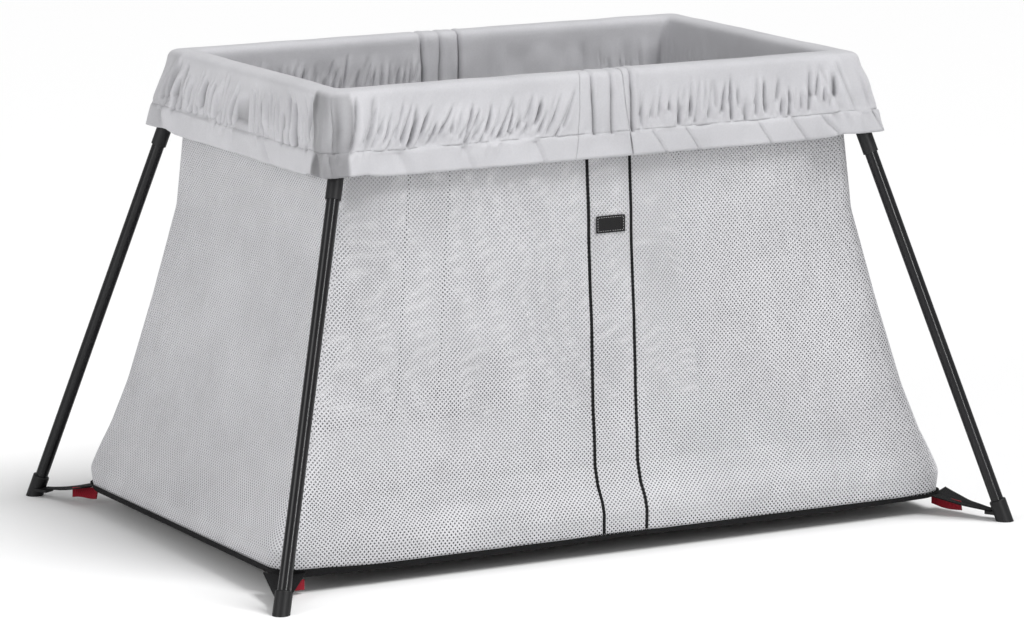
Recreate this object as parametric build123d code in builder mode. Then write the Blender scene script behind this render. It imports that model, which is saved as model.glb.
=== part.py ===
from build123d import *
import os
from math import sqrt

# Folding playpen (travel cot): a hidden tube frame in a cloth rim cover, four splayed legs and a net bag.
# Frame of reference: origin on the floor under the middle, +X along the length, front at -Y, +Z up.
# All sizes are in millimetres. The frame is stored standing, which is the zero position of every joint.

os.makedirs("parts", exist_ok=True)

SIDES = {"left": -1, "right": 1}
ENDS = {"front": -1, "back": 1}

# Top frame
RAIL_X = 385.0  # centre line of the short rails
RAIL_Y = 232.0  # centre line of the long rails
RAIL_Z = 622.0
RAIL_D = 22.0
RAIL_WALL = 1.5
ELBOW_D = 26.0
ELBOW_REACH = 48.0  # how far each arm of a corner moulding runs over its rail
SOCKET_START = 24.0  # where a rail's end stops inside the moulding
RIVET_D = 4.0
RIVET_AT = 36.0  # from the corner's centre

# Centre links that join the two halves of the frame
LINK_PIVOT_X = 30.0
LINK_HALF_X = 42.0
LINK_HALF_Y = 11.0
LINK_LOW = 606.0
LINK_HIGH = 630.0
LINK_SPLIT = 0.1  # half of the gap between the two moulded halves
TONGUE_R = 9.0
TONGUE_T = 7.5
SLOT_GAP = 0.4
PIN_D = 6.0
PIN_FIT = 0.05  # radial clearance of every pin in its hole
PLUG_START = 56.0
RAIL_START = 58.0
PLUG_END = 88.0

# Release button in each link
BUTTON_X = 18.0
BUTTON_Y = 11.0
BUTTON_LOW = 602.5
BUTTON_HIGH = 612.0
FLANGE_X = 23.0
FLANGE_Y = 15.0
FLANGE_LOW = 609.5
POCKET_HIGH = 623.0
BUTTON_GAP = 0.4
SPRING_R = 3.6
SPRING_WIRE = 0.8
SPRING_TURNS = 4.0

# Legs
PIVOT_X = 382.3
PIVOT_Y = 248.0
PIVOT_Z = 592.0
FOOT_X = 549.0
FOOT_Y = 398.0
LEG_D = 17.5
LEG_WALL = 1.2
HEAD_R = 10.0  # round end of the leg head's tongue
HEAD_T = 10.0
COLLAR_D = 21.0
COLLAR_START = 18.0
COLLAR_END = 95.0
TUBE_START = 31.0
TUBE_END = 616.0
BRACKET_R = 14.0
BRACKET_T = 20.0
FOOT_D = 23.0
FOOT_START = 602.0

# Net bag: (height, half length, half width, corner radius)
BAG = [
    (598.0, 376.0, 230.0, 20.0),
    (525.0, 378.0, 235.0, 22.0),
    (424.0, 386.0, 244.0, 24.0),
    (300.0, 417.0, 262.0, 28.0),
    (180.0, 449.0, 283.0, 32.0),
    (118.0, 470.0, 297.0, 34.0),
    (85.0, 494.0, 310.0, 36.0),
    (57.0, 518.0, 322.0, 40.0),
    (30.0, 510.0, 315.0, 38.0),
]
NET_T = 2.0
BAND_X = 32.5  # binding tapes on both sides of the centre band
BAND_GAP = 0.5
TAPE_W = 4.5
BASE_LOW = 30.0
BASE_T = 2.0

# Mattress
MATTRESS_X = 500.0
MATTRESS_Y = 300.0
MATTRESS_LOW = 32.5
MATTRESS_HIGH = 72.0
PANEL_X = 250.0

# Rim cover: (height, half length, half width, corner radius) of its outside, and of its flared corners
COVER_OUT = [(525.0, 410.0, 257.0, 24.0), (628.0, 399.5, 246.5, 22.0), (640.0, 392.0, 239.0, 16.0)]
COVER_IN = [(565.0, 366.0, 213.0, 12.0), (626.0, 366.0, 213.0, 12.0), (640.0, 375.0, 222.0, 18.0)]
CORNER_OUT = [(525.0, 424.0, 282.0, 12.0), (590.0, 408.0, 267.0, 12.0), (628.0, 402.0, 252.0, 12.0),
              (640.0, 394.0, 243.0, 9.0)]
CORNER_FROM = (330.0, 176.0)
COVER_T = 3.0
COVER_HIGH = 640.0

# Leg direction, from its pivot to the foot, for the corner at +X +Y
RUN = (FOOT_X - PIVOT_X, FOOT_Y - PIVOT_Y, -PIVOT_Z)
LEG_LENGTH = sqrt(sum(v * v for v in RUN))
LEG_DIR = tuple(v / LEG_LENGTH for v in RUN)
FALL = sqrt(LEG_DIR[1] ** 2 + LEG_DIR[2] ** 2)
PLANE_COS = -LEG_DIR[2] / FALL  # the plane that a leg swings in leans outwards by this cosine and sine
PLANE_SIN = LEG_DIR[1] / FALL


def save(part, name):
    part.label = name
    export_step(part, "parts/" + name + ".step")


def pivot_of(sx, sy):
    return (sx * PIVOT_X, sy * PIVOT_Y, PIVOT_Z)


def along_leg(sx, sy, distance):
    return (
        sx * (PIVOT_X + distance * LEG_DIR[0]),
        sy * (PIVOT_Y + distance * LEG_DIR[1]),
        PIVOT_Z + distance * LEG_DIR[2],
    )


def leg_plane(sx, sy, distance):
    """Across the leg, looking down it towards the foot."""
    return Plane(
        origin=along_leg(sx, sy, distance),
        x_dir=(0, -LEG_DIR[2], sy * -LEG_DIR[1]),
        z_dir=(sx * LEG_DIR[0], sy * LEG_DIR[1], LEG_DIR[2]),
    )


def hinge_plane(sx, sy):
    """The plane that a leg swings in: local +Y runs down, and +Z is inboard along the pivot pin."""
    return Plane(
        origin=pivot_of(sx, sy),
        x_dir=(-sy, 0, 0),
        z_dir=(0, -sy * PLANE_COS, -PLANE_SIN),
    )


def tapered(levels, grow=0.0, low=None, high=None):
    """A closed body through rounded rectangles at several heights, with every side moved out by grow."""
    with BuildPart() as body:
        for z, x, y, r in levels:
            with BuildSketch(Plane.XY.offset(z)):
                RectangleRounded(2 * (x + grow), 2 * (y + grow), max(r + grow, 1.0))
        loft(ruled=True)
        if low is not None:
            split(bisect_by=Plane.XY.offset(low), keep=Keep.TOP)
        if high is not None:
            split(bisect_by=Plane.XY.offset(high), keep=Keep.BOTTOM)
    return body.part


# ---------------------------------------------------------------- top frame


def corner_moulding(sx, sy, name):
    centre = (sx * RAIL_X, sy * RAIL_Y, RAIL_Z)
    outward = -sy * sx  # which way along the hinge plane's local X is outboard
    tilt = LEG_DIR[0]
    rise = sqrt(1.0 - tilt * tilt)
    edge = HEAD_R * 0.6 + 0.3
    with BuildPart() as moulding:
        with BuildSketch(Plane(origin=centre, x_dir=(0, 1, 0), z_dir=(-sx, 0, 0))):
            Circle(ELBOW_D / 2)
        extrude(amount=ELBOW_REACH)
        with BuildSketch(Plane(origin=centre, x_dir=(1, 0, 0), z_dir=(0, -sy, 0))):
            Circle(ELBOW_D / 2)
        extrude(amount=ELBOW_REACH)
        with Locations(centre):
            Sphere(ELBOW_D / 2)
        # bracket that carries the leg's pivot pin
        with BuildSketch(hinge_plane(sx, sy)):
            Circle(BRACKET_R)
            with Locations((0, -9.5)):
                Rectangle(2 * BRACKET_R, 19)
        extrude(amount=BRACKET_T / 2, both=True)
        with BuildSketch(hinge_plane(sx, sy)):
            with Locations((0, -25)):
                Rectangle(2 * BRACKET_R, 16)
        extrude(amount=BRACKET_T / 2)
        # slot that the leg head swings in; its outboard side is the stop of the open leg
        with BuildSketch(hinge_plane(sx, sy)):
            Circle(HEAD_R + 0.8)
            with BuildLine():
                Polyline(
                    (outward * rise * edge, -tilt * edge),
                    (outward * (rise * edge + tilt * 60), -tilt * edge + rise * 60),
                    (-outward * 60, 60),
                    (-outward * 60, -edge),
                    (0, -edge),
                    close=True,
                )
            make_face()
        extrude(amount=HEAD_T / 2 + SLOT_GAP, both=True, mode=Mode.SUBTRACT)
        with BuildSketch(hinge_plane(sx, sy)):
            Circle(PIN_D / 2 + PIN_FIT)
        extrude(amount=BRACKET_T, both=True, mode=Mode.SUBTRACT)
        # rail sockets
        with BuildSketch(Plane(origin=centre, x_dir=(0, 1, 0), z_dir=(-sx, 0, 0)).offset(SOCKET_START)):
            Circle(RAIL_D / 2 + PIN_FIT)
        extrude(amount=ELBOW_REACH, mode=Mode.SUBTRACT)
        with BuildSketch(Plane(origin=centre, x_dir=(1, 0, 0), z_dir=(0, -sy, 0)).offset(SOCKET_START)):
            Circle(RAIL_D / 2 + PIN_FIT)
        extrude(amount=ELBOW_REACH, mode=Mode.SUBTRACT)
        # rivet holes, from below
        with Locations(
            (sx * (RAIL_X - RIVET_AT), sy * RAIL_Y, RAIL_Z - 11),
            (sx * RAIL_X, sy * (RAIL_Y - RIVET_AT), RAIL_Z - 11),
        ):
            Cylinder(RIVET_D / 2 + PIN_FIT, 14, mode=Mode.SUBTRACT)
    save(moulding.part, name)


def end_rail(sx, name):
    reach = RAIL_Y - SOCKET_START
    with BuildPart() as rail:
        with BuildSketch(Plane(origin=(sx * RAIL_X, -reach, RAIL_Z), x_dir=(1, 0, 0), z_dir=(0, 1, 0))):
            Circle(RAIL_D / 2)
            Circle(RAIL_D / 2 - RAIL_WALL, mode=Mode.SUBTRACT)
        extrude(amount=2 * reach)
        with Locations(
            (sx * RAIL_X, RAIL_Y - RIVET_AT, RAIL_Z - 11),
            (sx * RAIL_X, -(RAIL_Y - RIVET_AT), RAIL_Z - 11),
        ):
            Cylinder(RIVET_D / 2 + PIN_FIT, 14, mode=Mode.SUBTRACT)
    save(rail.part, name)


def long_rail(sx, sy, name):
    length = RAIL_X - SOCKET_START - RAIL_START
    with BuildPart() as rail:
        with BuildSketch(
            Plane(origin=(sx * RAIL_START, sy * RAIL_Y, RAIL_Z), x_dir=(0, 1, 0), z_dir=(sx, 0, 0))
        ):
            Circle(RAIL_D / 2)
            Circle(RAIL_D / 2 - RAIL_WALL, mode=Mode.SUBTRACT)
        extrude(amount=length)
        with Locations(
            (sx * (RAIL_X - RIVET_AT), sy * RAIL_Y, RAIL_Z - 11),
            (sx * (PLUG_START + PLUG_END) / 2, sy * RAIL_Y, RAIL_Z - 11),
        ):
            Cylinder(RIVET_D / 2 + PIN_FIT, 14, mode=Mode.SUBTRACT)
    save(rail.part, name)


def hinge_end(sx, sy, name):
    """Plug in a long rail's end, with the tongue that turns in the centre link."""
    with BuildPart() as fitting:
        axis = Plane(origin=(sx * PLUG_START, sy * RAIL_Y, RAIL_Z), x_dir=(0, 1, 0), z_dir=(sx, 0, 0))
        with BuildSketch(axis):
            Circle(RAIL_D / 2)
        extrude(amount=RAIL_START - PLUG_START)
        with BuildSketch(axis.offset(RAIL_START - PLUG_START)):
            Circle(RAIL_D / 2 - RAIL_WALL - PIN_FIT)
        extrude(amount=PLUG_END - RAIL_START)
        chamfer(fitting.faces().sort_by(Axis.X)[-1 if sx > 0 else 0].edges(), 1.5)
        with BuildSketch(
            Plane(origin=(sx * LINK_PIVOT_X, sy * RAIL_Y, RAIL_Z), x_dir=(sx, 0, 0), z_dir=(0, -sx, 0))
        ):
            Circle(TONGUE_R)
            with Locations(((PLUG_START - LINK_PIVOT_X) / 2, 0)):
                Rectangle(PLUG_START - LINK_PIVOT_X, 2 * TONGUE_R)
            Circle(PIN_D / 2 + PIN_FIT, mode=Mode.SUBTRACT)
        extrude(amount=TONGUE_T / 2, both=True)
        with Locations((sx * (PLUG_START + PLUG_END) / 2, sy * RAIL_Y, RAIL_Z - 11)):
            Cylinder(RIVET_D / 2 + PIN_FIT, 14, mode=Mode.SUBTRACT)
    save(fitting.part, name)


def rivets(sx, name):
    """Blind rivets that hold the rails in the mouldings and the hinge ends in the rails."""
    low = RAIL_Z - ELBOW_D / 2
    places = [(sx * (RAIL_X - RIVET_AT), sy * RAIL_Y, low) for sy in (-1, 1)]
    places += [(sx * RAIL_X, sy * (RAIL_Y - RIVET_AT), low) for sy in (-1, 1)]
    places += [(sx * (PLUG_START + PLUG_END) / 2, sy * RAIL_Y, RAIL_Z - RAIL_D / 2) for sy in (-1, 1)]
    with BuildPart() as group:
        with Locations(*places):
            Cylinder(RIVET_D / 2, 5.6, align=(Align.CENTER, Align.CENTER, Align.MIN))
            Cylinder(3.5, 1.3, align=(Align.CENTER, Align.CENTER, Align.MAX))
    save(group.part, name)


def leg_pins(sx, name):
    with BuildPart() as group:
        for sy in ENDS.values():
            with BuildSketch(hinge_plane(sx, sy).offset(-BRACKET_T / 2)):
                Circle(PIN_D / 2)
            extrude(amount=BRACKET_T)
            with BuildSketch(hinge_plane(sx, sy).offset(BRACKET_T / 2)):
                Circle(PIN_D / 2 + 1.5)
            extrude(amount=1.5)
    save(group.part, name)


# ---------------------------------------------------------------- centre links


def centre_link(sy, name):
    """Two moulded halves, with a slot at each end for the rails' tongues and a pocket for the button."""
    with BuildPart() as link:
        with BuildSketch(Plane(origin=(-LINK_HALF_X, sy * RAIL_Y, 0), x_dir=(0, 1, 0), z_dir=(1, 0, 0))):
            with BuildLine():
                Polyline(
                    (-LINK_HALF_Y, LINK_LOW),
                    (LINK_HALF_Y, LINK_LOW),
                    (LINK_HALF_Y, LINK_HIGH - 4),
                    (LINK_HALF_Y - 4, LINK_HIGH),
                    (-LINK_HALF_Y + 4, LINK_HIGH),
                    (-LINK_HALF_Y, LINK_HIGH - 4),
                    close=True,
                )
            make_face()
        extrude(amount=2 * LINK_HALF_X)
        for sx in SIDES.values():
            with Locations((sx * (LINK_HALF_X + LINK_PIVOT_X - TONGUE_R - 0.8) / 2 + sx * 5, sy * RAIL_Y,
                            (LINK_LOW + LINK_HIGH) / 2 + 3)):
                Box(
                    LINK_HALF_X - LINK_PIVOT_X + TONGUE_R + 10.8,
                    TONGUE_T + 2 * SLOT_GAP,
                    LINK_HIGH - LINK_LOW,
                    mode=Mode.SUBTRACT,
                )
            with BuildSketch(
                Plane(origin=(sx * LINK_PIVOT_X, sy * RAIL_Y, RAIL_Z), x_dir=(1, 0, 0), z_dir=(0, -1, 0))
            ):
                Circle(PIN_D / 2 + PIN_FIT)
            extrude(amount=LINK_HALF_Y + 1, both=True, mode=Mode.SUBTRACT)
        with Locations((0, sy * RAIL_Y, (LINK_LOW + BUTTON_LOW) / 2 + 2)):
            Box(BUTTON_X + 2 * BUTTON_GAP, BUTTON_Y + 2 * BUTTON_GAP, 20, mode=Mode.SUBTRACT)
        with Locations((0, sy * RAIL_Y, (FLANGE_LOW - 0.3 + POCKET_HIGH) / 2)):
            Box(
                FLANGE_X + 2 * BUTTON_GAP,
                FLANGE_Y + 2 * BUTTON_GAP,
                POCKET_HIGH - FLANGE_LOW + 0.3,
                mode=Mode.SUBTRACT,
            )
        # the parting gap between the two halves
        with Locations((0, sy * RAIL_Y, RAIL_Z)):
            Box(2 * LINK_HALF_X + 2, 2 * LINK_SPLIT, 60, mode=Mode.SUBTRACT)
    save(link.part, name)


def link_pins(name):
    with BuildPart() as group:
        for sx in SIDES.values():
            for sy in ENDS.values():
                with BuildSketch(
                    Plane(origin=(sx * LINK_PIVOT_X, sy * RAIL_Y, RAIL_Z), x_dir=(1, 0, 0), z_dir=(0, -1, 0))
                ):
                    Circle(PIN_D / 2)
                extrude(amount=LINK_HALF_Y, both=True)
    save(group.part, name)


def release_button(sy, name):
    with BuildPart() as button:
        with Locations((0, sy * RAIL_Y, BUTTON_LOW)):
            Box(
                BUTTON_X,
                BUTTON_Y,
                BUTTON_HIGH - BUTTON_LOW,
                align=(Align.CENTER, Align.CENTER, Align.MIN),
            )
        fillet(button.edges().filter_by(Axis.Z), 2.0)
        fillet(button.faces().sort_by(Axis.Z)[0].edges(), 1.0)
        with Locations((0, sy * RAIL_Y, FLANGE_LOW)):
            Box(
                FLANGE_X,
                FLANGE_Y,
                BUTTON_HIGH - FLANGE_LOW,
                align=(Align.CENTER, Align.CENTER, Align.MIN),
            )
    save(button.part, name)


def release_spring(sy, name):
    low = BUTTON_HIGH + SPRING_WIRE / 2 + 0.1
    height = POCKET_HIGH - SPRING_WIRE / 2 - 0.1 - low
    with BuildPart() as spring:
        with BuildLine(Plane(origin=(0, sy * RAIL_Y, low))) as path:
            Helix(pitch=height / SPRING_TURNS, height=height, radius=SPRING_R)
        with BuildSketch(Plane(origin=path.line @ 0, z_dir=path.line % 0)):
            Circle(SPRING_WIRE / 2)
        sweep(path=path.line, is_frenet=True)
    save(spring.part, name)


# ---------------------------------------------------------------- legs


def leg_head(sx, sy, name):
    """Moulded head: a tongue that turns on the pivot pin, and a collar over the top of the leg tube."""
    outward = -sy * sx
    tilt = LEG_DIR[0]
    rise = sqrt(1.0 - tilt * tilt)
    half = HEAD_R * 0.6
    reach = COLLAR_START + 4
    with BuildPart() as head:
        with BuildSketch(hinge_plane(sx, sy)):
            Circle(HEAD_R)
            with BuildLine():
                Polyline(
                    (outward * rise * half, -tilt * half),
                    (outward * (rise * half + tilt * reach), -tilt * half + rise * reach),
                    (outward * (-rise * half + tilt * reach), tilt * half + rise * reach),
                    (-outward * rise * half, tilt * half),
                    close=True,
                )
            make_face()
        extrude(amount=HEAD_T / 2, both=True)
        with BuildSketch(leg_plane(sx, sy, COLLAR_START)):
            Circle(COLLAR_D / 2)
        extrude(amount=COLLAR_END - COLLAR_START)
        with BuildSketch(hinge_plane(sx, sy)):
            Circle(PIN_D / 2 + PIN_FIT)
        extrude(amount=HEAD_T, both=True, mode=Mode.SUBTRACT)
        with BuildSketch(leg_plane(sx, sy, TUBE_START - 0.5)):
            Circle(LEG_D / 2 + PIN_FIT)
        extrude(amount=COLLAR_END, mode=Mode.SUBTRACT)
    save(head.part, name)


def leg_tube(sx, sy, name):
    with BuildPart() as tube:
        with BuildSketch(leg_plane(sx, sy, TUBE_START)):
            Circle(LEG_D / 2)
            Circle(LEG_D / 2 - LEG_WALL, mode=Mode.SUBTRACT)
        extrude(amount=TUBE_END - TUBE_START)
    save(tube.part, name)


# Line from a foot to the bag's corner, for the strap, its lug and the pull tab (corner at +X +Y)
BAG_CORNER = (498.0, 303.0)
STRAP_RUN = sqrt((FOOT_X - BAG_CORNER[0]) ** 2 + (FOOT_Y - BAG_CORNER[1]) ** 2)
STRAP_DIR = ((BAG_CORNER[0] - FOOT_X) / STRAP_RUN, (BAG_CORNER[1] - FOOT_Y) / STRAP_RUN)
LUG_LOW = 8.0
LUG_HIGH = 12.0
LUG_W = 20.0
LUG_REACH = 28.0
LUG_SLOT = 22.0  # distance of the slot's middle from the foot's centre
STRAP_FROM = 18.0
STRAP_TO = 118.0
STRAP_LOW = LUG_HIGH + 0.4
STRAP_HIGH = 28.2
STRAP_T = 1.2
STRAP_NARROW = 15.0
STRAP_WIDE = 56.0


def floor_plane(sx, sy, distance, z, lift=0.0):
    """On the line from a foot to the bag's corner: local +X runs along it, rising by lift per unit of run."""
    run = sqrt(1.0 + lift * lift)
    return Plane(
        origin=(
            sx * (FOOT_X + distance * STRAP_DIR[0]),
            sy * (FOOT_Y + distance * STRAP_DIR[1]),
            z,
        ),
        x_dir=(sx * STRAP_DIR[0] / run, sy * STRAP_DIR[1] / run, lift / run),
        z_dir=(-sx * STRAP_DIR[0] * lift / run, -sy * STRAP_DIR[1] * lift / run, 1.0 / run),
    )


STRAP_LIFT = (STRAP_HIGH - STRAP_LOW) / (STRAP_TO - STRAP_FROM)


def foot_cap(sx, sy, name):
    with BuildPart() as foot:
        with BuildSketch(leg_plane(sx, sy, FOOT_START)):
            Circle(FOOT_D / 2)
        extrude(amount=LEG_LENGTH - FOOT_START + 8)
        fillet(foot.edges().sort_by(Axis.Z)[-1:], 2.0)
        with BuildSketch(floor_plane(sx, sy, 0, LUG_LOW)):
            with Locations((LUG_REACH / 2, 0)):
                RectangleRounded(LUG_REACH, LUG_W, 4)
        extrude(amount=LUG_HIGH - LUG_LOW)
        with BuildSketch(floor_plane(sx, sy, LUG_SLOT, LUG_LOW)):
            Rectangle(3.6, STRAP_NARROW + 0.6)
        extrude(amount=LUG_HIGH - LUG_LOW, mode=Mode.SUBTRACT)
        with BuildSketch(leg_plane(sx, sy, FOOT_START - 1)):
            Circle(LEG_D / 2 + PIN_FIT)
        extrude(amount=TUBE_END + 1.3 - FOOT_START, mode=Mode.SUBTRACT)
        split(bisect_by=Plane.XY, keep=Keep.TOP)
    save(foot.part, name)


def corner_strap(sx, sy, name):
    """Webbing gusset: a narrow end through the foot's lug, widening to where it is sewn under the bag."""
    with BuildPart() as strap:
        with BuildSketch(floor_plane(sx, sy, STRAP_FROM, STRAP_LOW, STRAP_LIFT)):
            with BuildLine():
                Polyline(
                    (0, -STRAP_NARROW / 2),
                    (STRAP_TO - STRAP_FROM, -STRAP_WIDE / 2),
                    (STRAP_TO - STRAP_FROM, STRAP_WIDE / 2),
                    (0, STRAP_NARROW / 2),
                    close=True,
                )
            make_face()
        extrude(amount=STRAP_T)
        with BuildSketch(floor_plane(sx, sy, LUG_SLOT, LUG_LOW - 4)):
            Rectangle(STRAP_T, STRAP_NARROW)
        extrude(amount=STRAP_LOW - LUG_LOW + 5)
    save(strap.part, name)


def pull_tabs(sx, name):
    low = STRAP_LOW + STRAP_LIFT * (72 - STRAP_FROM) - STRAP_T - 0.6
    with BuildPart() as tabs:
        for sy in ENDS.values():
            with BuildSketch(floor_plane(sx, sy, 72, low, STRAP_LIFT)):
                with Locations((20, 0)):
                    RectangleRounded(40, 14, 3)
            extrude(amount=STRAP_T)
    save(tabs.part, name)


# ---------------------------------------------------------------- cloth


def corner_plane(sx, sy):
    """The upright seam at a corner of the bag: its normal points along the end wall's side."""
    top = BAG[1]
    low = BAG[-2]
    p = (sx * (top[1] - 0.29 * top[3]), sy * (top[2] - 0.29 * top[3]), top[0])
    q = (sx * (low[1] - 0.29 * low[3]), sy * (low[2] - 0.29 * low[3]), low[0])
    down = Vector(*q) - Vector(*p)
    normal = down.cross(Vector(sx, sy, 0)).normalized()
    if normal.X * sx < 0:
        normal = normal * -1
    return Plane(origin=p, z_dir=normal)


outer_bag = tapered(BAG)
inner_bag = tapered(BAG, grow=-NET_T)
net_shell = outer_bag - inner_bag


def net_end(sx, name):
    with BuildPart() as wall:
        add(net_shell)
        split(bisect_by=corner_plane(sx, -1), keep=Keep.TOP)
        split(bisect_by=corner_plane(sx, 1), keep=Keep.TOP)
    save(wall.part, name)


def side_wall(sx, sy):
    with BuildPart() as wall:
        add(net_shell)
        split(bisect_by=Plane.YZ.offset(sx * (BAND_X + BAND_GAP)), keep=Keep.TOP if sx > 0 else Keep.BOTTOM)
        split(bisect_by=Plane.XZ, keep=Keep.TOP if sy < 0 else Keep.BOTTOM)
        split(bisect_by=corner_plane(sx, sy), keep=Keep.BOTTOM)
    return wall.part


def net_sides(sx, name):
    front = side_wall(sx, -1)
    back = side_wall(sx, 1)
    with BuildPart() as walls:
        add(front)
        add(back)
    save(walls.part, name)


def net_centre(name):
    with BuildPart() as wall:
        add(net_shell)
        split(bisect_by=Plane.YZ.offset(BAND_X - BAND_GAP), keep=Keep.BOTTOM)
        split(bisect_by=Plane.YZ.offset(-BAND_X + BAND_GAP), keep=Keep.TOP)
    save(wall.part, name)


def base_cloth(low_x, high_x, name):
    z, x, y, r = BAG[-1]
    with BuildPart() as cloth:
        with BuildSketch(Plane.XY.offset(BASE_LOW)):
            RectangleRounded(2 * (x - NET_T - 0.5), 2 * (y - NET_T - 0.5), r)
        extrude(amount=BASE_T)
        if low_x is not None:
            split(bisect_by=Plane.YZ.offset(low_x), keep=Keep.TOP)
        if high_x is not None:
            split(bisect_by=Plane.YZ.offset(high_x), keep=Keep.BOTTOM)
    save(cloth.part, name)


tape_shell = tapered(BAG, grow=1.2, low=34, high=560) - tapered(BAG, grow=0.3)


def binding_tapes(name):
    """Two tapes on each long side, over the seams between the centre band and the nets beside it."""
    strips = []
    for sx in SIDES.values():
        with BuildPart() as strip:
            add(tape_shell)
            split(bisect_by=Plane.YZ.offset(sx * BAND_X + TAPE_W / 2), keep=Keep.BOTTOM)
            split(bisect_by=Plane.YZ.offset(sx * BAND_X - TAPE_W / 2), keep=Keep.TOP)
        strips.append(strip.part)
    with BuildPart() as tapes:
        for strip in strips:
            add(strip)
    save(tapes.part, name)


def woven_label(name):
    with BuildPart() as label:
        with BuildSketch(Plane(origin=(0, -245.4, 434), x_dir=(1, 0, 0), z_dir=(0, -1, 0))):
            RectangleRounded(44, 23, 1)
        extrude(amount=0.9)
    save(label.part, name)


def corner_blocks(grow, levels):
    """The four flared corners of the rim cover, each a loft between rounded rectangles."""
    blocks = []
    for sx in SIDES.values():
        for sy in ENDS.values():
            with BuildPart() as block:
                for z, x, y, r in levels:
                    wide = x + grow - CORNER_FROM[0]
                    deep = y + grow - CORNER_FROM[1]
                    middle = (sx * (CORNER_FROM[0] + wide / 2), sy * (CORNER_FROM[1] + deep / 2), z)
                    with BuildSketch(Plane(origin=middle)):
                        RectangleRounded(wide, deep, r)
                loft(ruled=True)
            blocks.append(block.part)
    return blocks


def hollow_levels(levels):
    """The same heights for the hollow inside the cover: open below, one thickness lower at the top."""
    first = levels[0]
    last = levels[-1]
    return [(first[0] - 20, first[1], first[2], first[3])] + levels[:-1] + [
        (last[0] - COVER_T, last[1], last[2], last[3])
    ]


def opening(grow, top):
    """The rim's opening, widening to its rounded inner edge."""
    flat = COVER_IN[1]
    lip = COVER_IN[2]
    levels = [
        (500.0, flat[1], flat[2], flat[3]),
        (flat[0], flat[1], flat[2], flat[3]),
        (top, lip[1], lip[2], lip[3]),
        (top + 20, lip[1] + 2, lip[2] + 2, lip[3]),
    ]
    return tapered(levels, grow=grow)


with BuildPart() as cover_outside:
    add(tapered(COVER_OUT))
    for block in corner_blocks(0.0, CORNER_OUT):
        add(block)
    add(opening(0.0, COVER_HIGH), mode=Mode.SUBTRACT)

with BuildPart() as cover_hollow:
    add(tapered(hollow_levels(COVER_OUT), grow=-COVER_T))
    for block in corner_blocks(-COVER_T, hollow_levels(CORNER_OUT)):
        add(block)
    add(opening(COVER_T, COVER_HIGH - COVER_T), mode=Mode.SUBTRACT)

with BuildPart() as cover_whole:
    add(cover_outside.part)
    add(cover_hollow.part, mode=Mode.SUBTRACT)
    with BuildSketch(Plane.XY.offset(COVER_OUT[0][0] - 1)):
        RectangleRounded(2 * (COVER_IN[0][1] + COVER_T), 2 * (COVER_IN[0][2] + COVER_T), COVER_IN[0][3] + COVER_T)
    extrude(amount=COVER_IN[0][0] - COVER_OUT[0][0] + 1, mode=Mode.SUBTRACT)


def rim_cover(low_x, high_x, name):
    with BuildPart() as cover:
        add(cover_whole.part)
        if low_x is not None:
            split(bisect_by=Plane.YZ.offset(low_x), keep=Keep.TOP)
        if high_x is not None:
            split(bisect_by=Plane.YZ.offset(high_x), keep=Keep.BOTTOM)
    save(cover.part, name)


def mattress_panel(low_x, high_x, name):
    with BuildPart() as pad:
        with BuildSketch(Plane.XY.offset(MATTRESS_LOW)):
            RectangleRounded(2 * MATTRESS_X, 2 * MATTRESS_Y, 38)
        extrude(amount=MATTRESS_HIGH - MATTRESS_LOW)
        if low_x is not None:
            split(bisect_by=Plane.YZ.offset(low_x), keep=Keep.TOP)
        if high_x is not None:
            split(bisect_by=Plane.YZ.offset(high_x), keep=Keep.BOTTOM)
    save(pad.part, name)


# ---------------------------------------------------------------- assembly

for side, sx in SIDES.items():
    end_rail(sx, "rail_end_" + side)
    rivets(sx, "rivets_" + side)
    leg_pins(sx, "leg_pins_" + side)
    net_end(sx, "net_end_" + side)
    net_sides(sx, "net_sides_" + side)
    pull_tabs(sx, "pull_tabs_" + side)
    for end, sy in ENDS.items():
        corner = end + "_" + side
        long_rail(sx, sy, "rail_long_" + corner)
        corner_moulding(sx, sy, "corner_moulding_" + corner)
        hinge_end(sx, sy, "hinge_end_" + corner)
        leg_head(sx, sy, "leg_head_" + corner)
        leg_tube(sx, sy, "leg_tube_" + corner)
        foot_cap(sx, sy, "foot_cap_" + corner)
        corner_strap(sx, sy, "corner_strap_" + corner)

for end, sy in ENDS.items():
    centre_link(sy, "centre_link_" + end)
    release_button(sy, "release_button_" + end)
    release_spring(sy, "release_spring_" + end)
link_pins("link_pins")

net_centre("net_centre")
binding_tapes("binding_tapes")
woven_label("woven_label")
base_cloth(None, -BAND_X - BAND_GAP, "base_cloth_left")
base_cloth(-BAND_X + BAND_GAP, BAND_X - BAND_GAP, "base_cloth_centre")
base_cloth(BAND_X + BAND_GAP, None, "base_cloth_right")

rim_cover(None, -LINK_PIVOT_X - 1, "rim_cover_left")
rim_cover(-LINK_PIVOT_X, LINK_PIVOT_X, "rim_cover_centre")
rim_cover(LINK_PIVOT_X + 1, None, "rim_cover_right")

mattress_panel(None, -PANEL_X - 1, "mattress_left")
mattress_panel(-PANEL_X + 1, PANEL_X - 1, "mattress_middle")
mattress_panel(PANEL_X + 1, None, "mattress_right")
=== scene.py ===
import math

import bpy
import numpy as np
from mathutils import Matrix, Vector


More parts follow.
